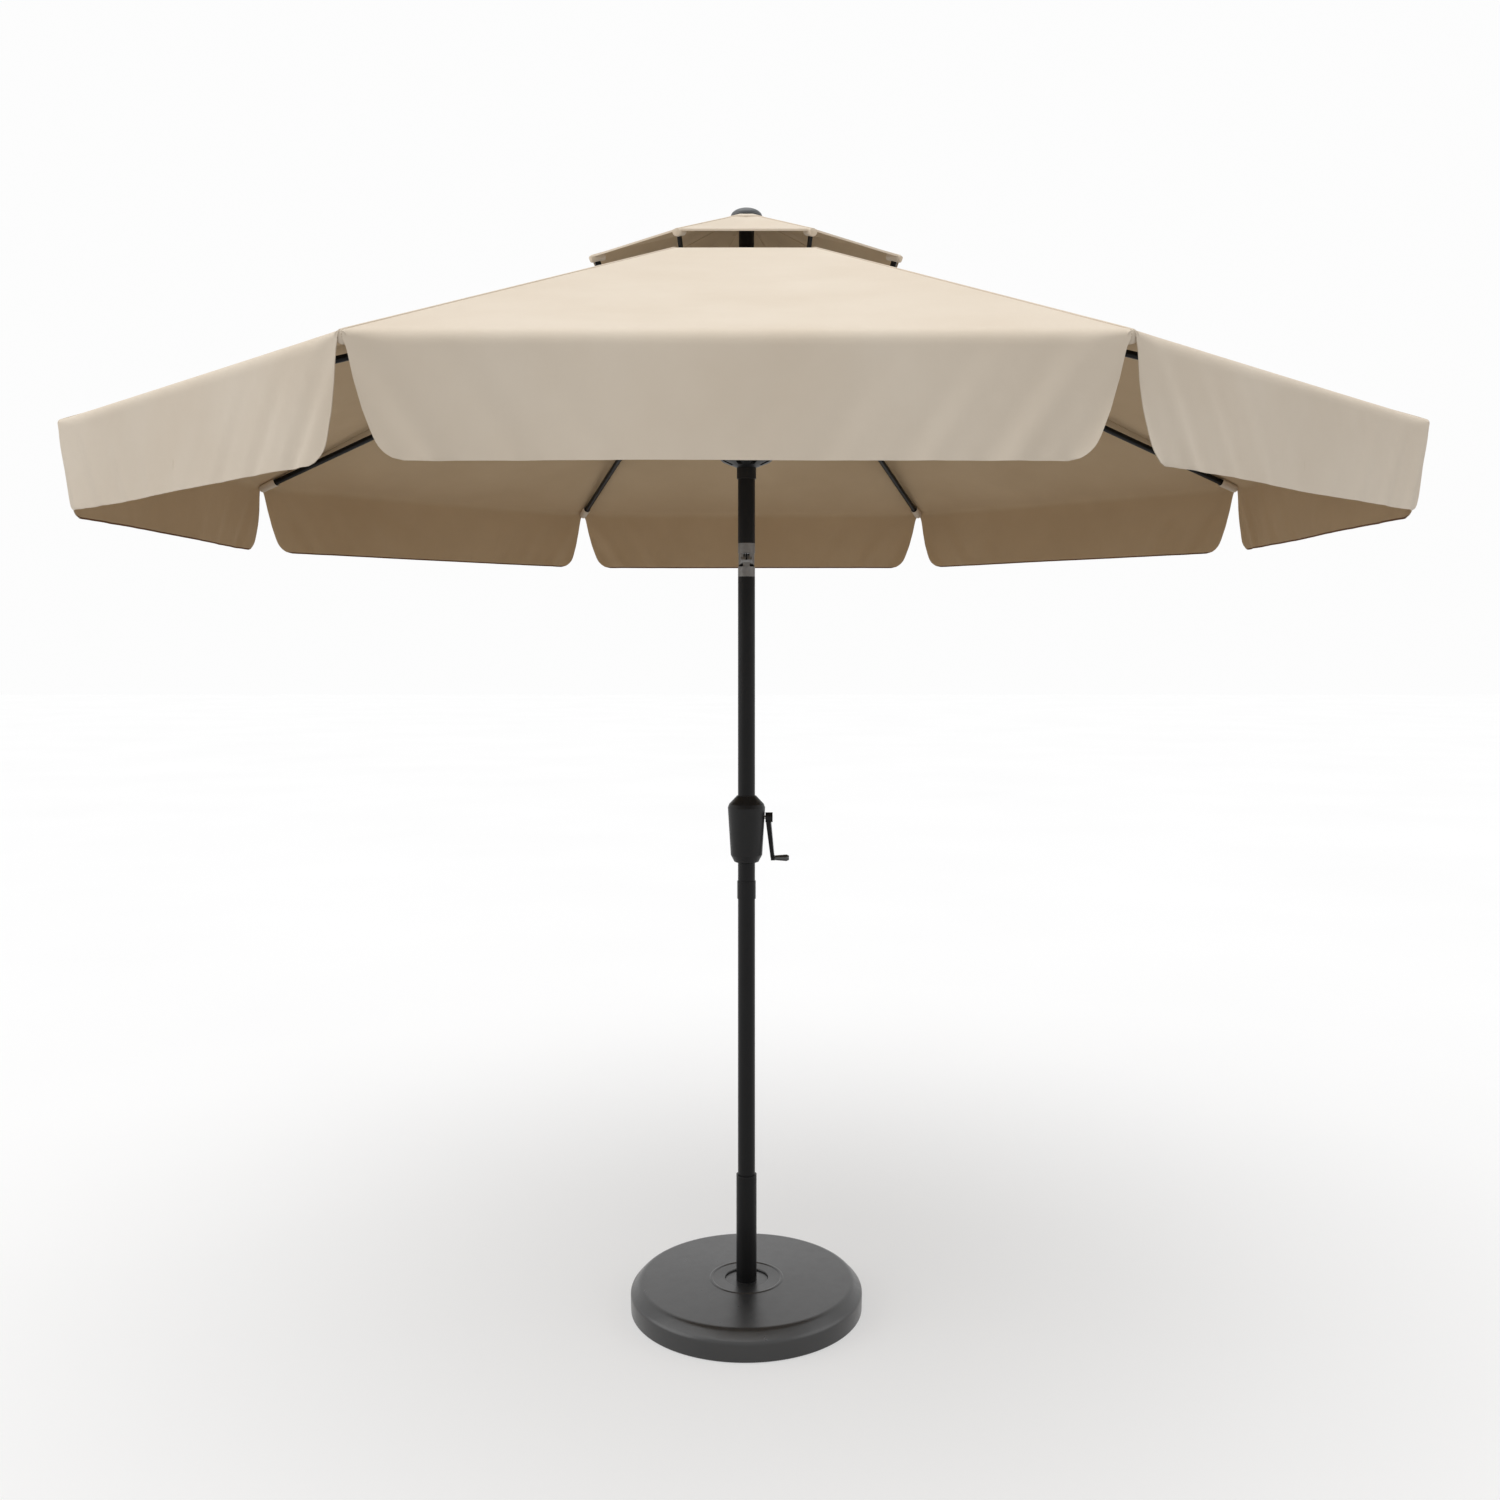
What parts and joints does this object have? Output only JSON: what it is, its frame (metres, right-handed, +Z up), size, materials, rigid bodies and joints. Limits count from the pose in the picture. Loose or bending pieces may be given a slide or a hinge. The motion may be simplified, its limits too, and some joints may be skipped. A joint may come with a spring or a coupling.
{
  "type": "patio umbrella",
  "caption": "Octagonal market umbrella with hanging flaps, vented top, crank lift, push-button tilt and a round weighted base.",
  "frame": {"origin": "on the floor, at the middle of the base", "axes": "+Z up the mast, -Y to the front, where a flat side of the canopy faces; +X on the crank's side"},
  "size_m": [2.536, 2.536, 2.435],
  "materials": {
    "base_resin": "satin black with a fine moulded grain",
    "cast_weight": "rough cast",
    "rubber": "matt",
    "powder_coat": "satin near-black powder coat",
    "bare_steel": "zinc plated",
    "black_plastic": "moulded, fine grain",
    "grip_plastic": "glossy",
    "knuckle_alloy": "grey painted casting",
    "finial_plastic": "charcoal",
    "cord": "braided black cord",
    "canopy_cloth": "sand polyester in plain weave"
  },
  "bodies": {
    "base": {"base_cover": "base_resin", "base_weight": "cast_weight", "base_feet": "rubber", "stem_collar": "base_resin", "base_stem": "powder_coat", "stem_bolts": "bare_steel", "stem_liner": "black_plastic"},
    "stem_knob": {"stem_knob": "black_plastic"},
    "mast": {"pole_foot_plug": "black_plastic", "lower_pole": "powder_coat", "pole_sleeve": "powder_coat", "middle_pole": "powder_coat", "axle_bushes": "black_plastic", "crank_housing_front": "black_plastic", "crank_housing_rear": "black_plastic", "housing_screws": "bare_steel", "tilt_lower_knuckle": "knuckle_alloy", "lift_cord_mast": "cord"},
    "crank": {"crank_spool": "bare_steel", "crank_arm": "powder_coat"},
    "crank_grip": {"crank_grip": "grip_plastic"},
    "head": {"tilt_upper_knuckle": "knuckle_alloy", "tilt_pins": "bare_steel", "upper_pole": "powder_coat", "button_spring": "bare_steel", "top_hub": "black_plastic", "hub_pins": "bare_steel", "hub_cap": "black_plastic", "vent_crown": "canopy_cloth", "finial": "finial_plastic", "lift_cord_head": "cord", "lift_cord_drop": "cord"},
    "tilt_button": {"tilt_button": "black_plastic"},
    "pulley": {"pulley": "black_plastic"},
    "runner": {"runner_hub": "black_plastic", "runner_pins": "bare_steel"},
    "rib_1": {"rib_1": "powder_coat", "canopy_1": "canopy_cloth"},
    "strut_1": {"strut_1": "powder_coat"},
    "rib_2": {"rib_2": "powder_coat", "canopy_2": "canopy_cloth"},
    "strut_2": {"strut_2": "powder_coat"},
    "rib_3": {"rib_3": "powder_coat", "canopy_3": "canopy_cloth"},
    "strut_3": {"strut_3": "powder_coat"},
    "rib_4": {"rib_4": "powder_coat", "canopy_4": "canopy_cloth"},
    "strut_4": {"strut_4": "powder_coat"},
    "rib_5": {"rib_5": "powder_coat", "canopy_5": "canopy_cloth"},
    "strut_5": {"strut_5": "powder_coat"},
    "rib_6": {"rib_6": "powder_coat", "canopy_6": "canopy_cloth"},
    "strut_6": {"strut_6": "powder_coat"},
    "rib_7": {"rib_7": "powder_coat", "canopy_7": "canopy_cloth"},
    "strut_7": {"strut_7": "powder_coat"},
    "rib_8": {"rib_8": "powder_coat", "canopy_8": "canopy_cloth"},
    "strut_8": {"strut_8": "powder_coat"}
  },
  "joints": [
    {"name": "mast_turn", "type": "hinge", "parent": "base", "child": "mast", "pos_m": [0, 0, 0.3], "axis": [0, 0, 1], "continuous": true},
    {"name": "stem_knob_turn", "type": "hinge", "parent": "base", "child": "stem_knob", "pos_m": [0, 0.04, 0.24], "axis": [0, 1, 0], "continuous": true},
    {"name": "head_tilt", "type": "hinge", "parent": "mast", "child": "head", "pos_m": [0, 0, 1.655], "axis": [-1, 0, 0], "range_deg": [-30, 0]},
    {"name": "runner_slide", "type": "slide", "parent": "head", "child": "runner", "axis": [0, 0, -1], "range_m": [0, 0.68921], "deforming": ["lift_cord_drop", "canopy_1", "canopy_2", "canopy_3", "canopy_4", "canopy_5", "canopy_6", "canopy_7", "canopy_8"]},
    {"name": "tilt_button_press", "type": "slide", "parent": "head", "child": "tilt_button", "axis": [0, -1, 0], "range_m": [0, 0.002], "stiffness_N_per_m": 600, "deforming": ["button_spring"]},
    {"name": "crank_turn", "type": "hinge", "parent": "mast", "child": "crank", "pos_m": [0, 0, 1.084], "axis": [1, 0, 0], "range_deg": [0, 2881]},
    {"name": "crank_grip_spin", "type": "hinge", "parent": "crank", "child": "crank_grip", "pos_m": [0.07, 0, 0.994], "axis": [1, 0, 0], "continuous": true},
    {"name": "pulley_turn", "type": "hinge", "parent": "head", "child": "pulley", "pos_m": [-0.00778, 0.00778, 2.312], "axis": [-0.7071, -0.7071, 0], "range_deg": [0, 3590]},
    {"name": "rib_1_fold", "type": "hinge", "parent": "head", "child": "rib_1", "pos_m": [0.04157, 0.01722, 2.302], "axis": [-0.3827, 0.9239, 0], "range_deg": [0, 61.98]},
    {"name": "strut_1_fold", "type": "hinge", "parent": "rib_1", "child": "strut_1", "pos_m": [0.52017, 0.21546, 2.11653], "axis": [-0.3827, 0.9239, 0], "range_deg": [-119.82, 0]},
    {"name": "rib_2_fold", "type": "hinge", "parent": "head", "child": "rib_2", "pos_m": [0.01722, 0.04157, 2.302], "axis": [-0.9239, 0.3827, 0], "range_deg": [0, 61.98]},
    {"name": "strut_2_fold", "type": "hinge", "parent": "rib_2", "child": "strut_2", "pos_m": [0.21546, 0.52017, 2.11653], "axis": [-0.9239, 0.3827, 0], "range_deg": [-119.82, 0]},
    {"name": "rib_3_fold", "type": "hinge", "parent": "head", "child": "rib_3", "pos_m": [-0.01722, 0.04157, 2.302], "axis": [-0.9239, -0.3827, 0], "range_deg": [0, 61.98]},
    {"name": "strut_3_fold", "type": "hinge", "parent": "rib_3", "child": "strut_3", "pos_m": [-0.21546, 0.52017, 2.11653], "axis": [-0.9239, -0.3827, 0], "range_deg": [-119.82, 0]},
    {"name": "rib_4_fold", "type": "hinge", "parent": "head", "child": "rib_4", "pos_m": [-0.04157, 0.01722, 2.302], "axis": [-0.3827, -0.9239, 0], "range_deg": [0, 61.98]},
    {"name": "strut_4_fold", "type": "hinge", "parent": "rib_4", "child": "strut_4", "pos_m": [-0.52017, 0.21546, 2.11653], "axis": [-0.3827, -0.9239, 0], "range_deg": [-119.82, 0]},
    {"name": "rib_5_fold", "type": "hinge", "parent": "head", "child": "rib_5", "pos_m": [-0.04157, -0.01722, 2.302], "axis": [0.3827, -0.9239, 0], "range_deg": [0, 61.98]},
    {"name": "strut_5_fold", "type": "hinge", "parent": "rib_5", "child": "strut_5", "pos_m": [-0.52017, -0.21546, 2.11653], "axis": [0.3827, -0.9239, 0], "range_deg": [-119.82, 0]},
    {"name": "rib_6_fold", "type": "hinge", "parent": "head", "child": "rib_6", "pos_m": [-0.01722, -0.04157, 2.302], "axis": [0.9239, -0.3827, 0], "range_deg": [0, 61.98]},
    {"name": "strut_6_fold", "type": "hinge", "parent": "rib_6", "child": "strut_6", "pos_m": [-0.21546, -0.52017, 2.11653], "axis": [0.9239, -0.3827, 0], "range_deg": [-119.82, 0]},
    {"name": "rib_7_fold", "type": "hinge", "parent": "head", "child": "rib_7", "pos_m": [0.01722, -0.04157, 2.302], "axis": [0.9239, 0.3827, 0], "range_deg": [0, 61.98]},
    {"name": "strut_7_fold", "type": "hinge", "parent": "rib_7", "child": "strut_7", "pos_m": [0.21546, -0.52017, 2.11653], "axis": [0.9239, 0.3827, 0], "range_deg": [-119.82, 0]},
    {"name": "rib_8_fold", "type": "hinge", "parent": "head", "child": "rib_8", "pos_m": [0.04157, -0.01722, 2.302], "axis": [0.3827, 0.9239, 0], "range_deg": [0, 61.98]},
    {"name": "strut_8_fold", "type": "hinge", "parent": "rib_8", "child": "strut_8", "pos_m": [0.52017, -0.21546, 2.11653], "axis": [0.3827, 0.9239, 0], "range_deg": [-119.82, 0]}
  ],
  "couplings": [
    {"joint": "crank_turn", "follows": "runner_slide", "rad_per_m": 72.932},
    {"joint": "pulley_turn", "follows": "runner_slide", "rad_per_m": 90.909},
    {"joint": "rib_1_fold", "follows": "runner_slide", "rad_per_m": 1.5692},
    {"joint": "strut_1_fold", "follows": "runner_slide", "rad_per_m": -3.0339},
    {"joint": "rib_2_fold", "follows": "runner_slide", "rad_per_m": 1.5692},
    {"joint": "strut_2_fold", "follows": "runner_slide", "rad_per_m": -3.0339},
    {"joint": "rib_3_fold", "follows": "runner_slide", "rad_per_m": 1.5692},
    {"joint": "strut_3_fold", "follows": "runner_slide", "rad_per_m": -3.0339},
    {"joint": "rib_4_fold", "follows": "runner_slide", "rad_per_m": 1.5692},
    {"joint": "strut_4_fold", "follows": "runner_slide", "rad_per_m": -3.0339},
    {"joint": "rib_5_fold", "follows": "runner_slide", "rad_per_m": 1.5692},
    {"joint": "strut_5_fold", "follows": "runner_slide", "rad_per_m": -3.0339},
    {"joint": "rib_6_fold", "follows": "runner_slide", "rad_per_m": 1.5692},
    {"joint": "strut_6_fold", "follows": "runner_slide", "rad_per_m": -3.0339},
    {"joint": "rib_7_fold", "follows": "runner_slide", "rad_per_m": 1.5692},
    {"joint": "strut_7_fold", "follows": "runner_slide", "rad_per_m": -3.0339},
    {"joint": "rib_8_fold", "follows": "runner_slide", "rad_per_m": 1.5692},
    {"joint": "strut_8_fold", "follows": "runner_slide", "rad_per_m": -3.0339}
  ]
}
